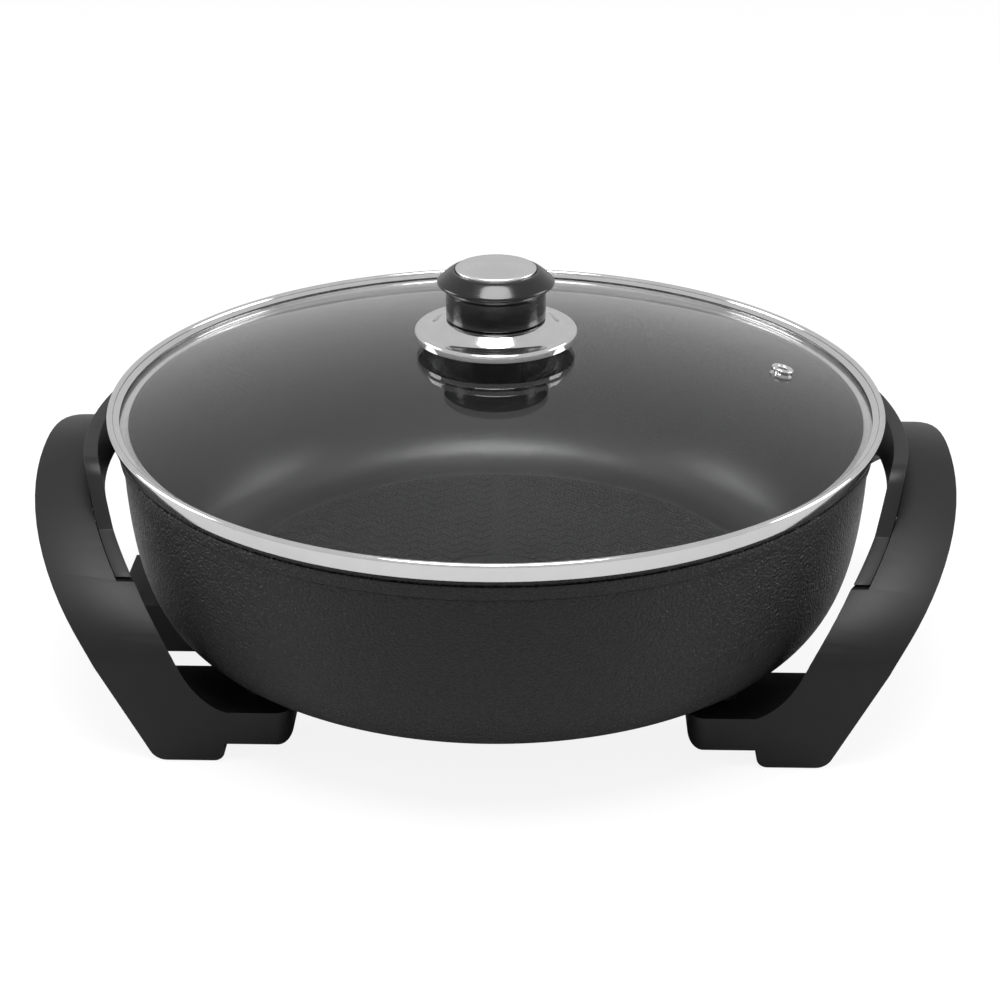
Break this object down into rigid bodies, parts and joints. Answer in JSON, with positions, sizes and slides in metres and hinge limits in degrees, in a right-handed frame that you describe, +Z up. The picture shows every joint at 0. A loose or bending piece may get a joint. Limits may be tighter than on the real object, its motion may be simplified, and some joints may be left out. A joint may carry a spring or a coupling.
{
  "type": "electric skillet",
  "caption": "Round electric skillet: deep black pan with a probe socket, arched side handles on feet, and a domed glass lid with a chrome rim and a knob.",
  "frame": {"origin": "on the pan's axis, at the surface that the foot pads stand on", "axes": "+X towards the right-hand handle, away from the probe socket; +Z up along the pan's axis, the way the lid lifts; -Y towards the viewer"},
  "size_m": [0.4248, 0.36, 0.1967],
  "materials": {
    "coated_aluminium": "cast, with a black non-stick coating in a fine hammered texture",
    "black_phenolic": "fine matt moulded texture",
    "knob_phenolic": "smooth, satin gloss",
    "bright_steel": "polished stainless steel",
    "brushed_cap": "satin stainless steel",
    "plain_steel": "plain zinc-plated or stainless steel",
    "brass": "turned",
    "ceramic": "unglazed white ceramic, opaque",
    "black_rubber": "matt",
    "clear_glass": "clear tempered glass"
  },
  "bodies": {
    "base": {"pan_body": "coated_aluminium", "heating_element": "plain_steel", "rear_terminal_pin": "plain_steel", "front_terminal_pin": "plain_steel", "rear_terminal_insulator": "ceramic", "front_terminal_insulator": "ceramic", "probe_sleeve": "plain_steel", "socket_housing": "black_phenolic", "rear_socket_screw": "plain_steel", "front_socket_screw": "plain_steel", "left_handle_shell": "black_phenolic", "left_handle_liner": "black_phenolic", "left_rear_liner_screw": "plain_steel", "left_front_liner_screw": "plain_steel", "left_rear_mount_screw": "plain_steel", "left_front_mount_screw": "plain_steel", "left_rear_mount_washer": "plain_steel", "left_front_mount_washer": "plain_steel", "left_rear_foot_pad": "black_rubber", "left_front_foot_pad": "black_rubber", "right_handle_shell": "black_phenolic", "right_handle_liner": "black_phenolic", "right_rear_liner_screw": "plain_steel", "right_front_liner_screw": "plain_steel", "right_rear_mount_screw": "plain_steel", "right_front_mount_screw": "plain_steel", "right_rear_mount_washer": "plain_steel", "right_front_mount_washer": "plain_steel", "right_rear_foot_pad": "black_rubber", "right_front_foot_pad": "black_rubber"},
    "lid": {"lid_glass": "clear_glass", "lid_rim": "bright_steel", "vent_eyelet": "bright_steel", "vent_washer": "bright_steel", "knob_base_disc": "bright_steel", "knob_spacer": "black_phenolic", "knob_body": "knob_phenolic", "knob_cap": "brushed_cap", "knob_insert": "brass", "knob_screw": "plain_steel", "knob_washer": "plain_steel", "upper_gasket": "black_rubber", "lower_gasket": "black_rubber"}
  },
  "joints": [
    {"name": "lid_lift", "type": "slide", "parent": "base", "child": "lid", "axis": [0, 0, 1], "range_m": [0, 0.15]}
  ]
}
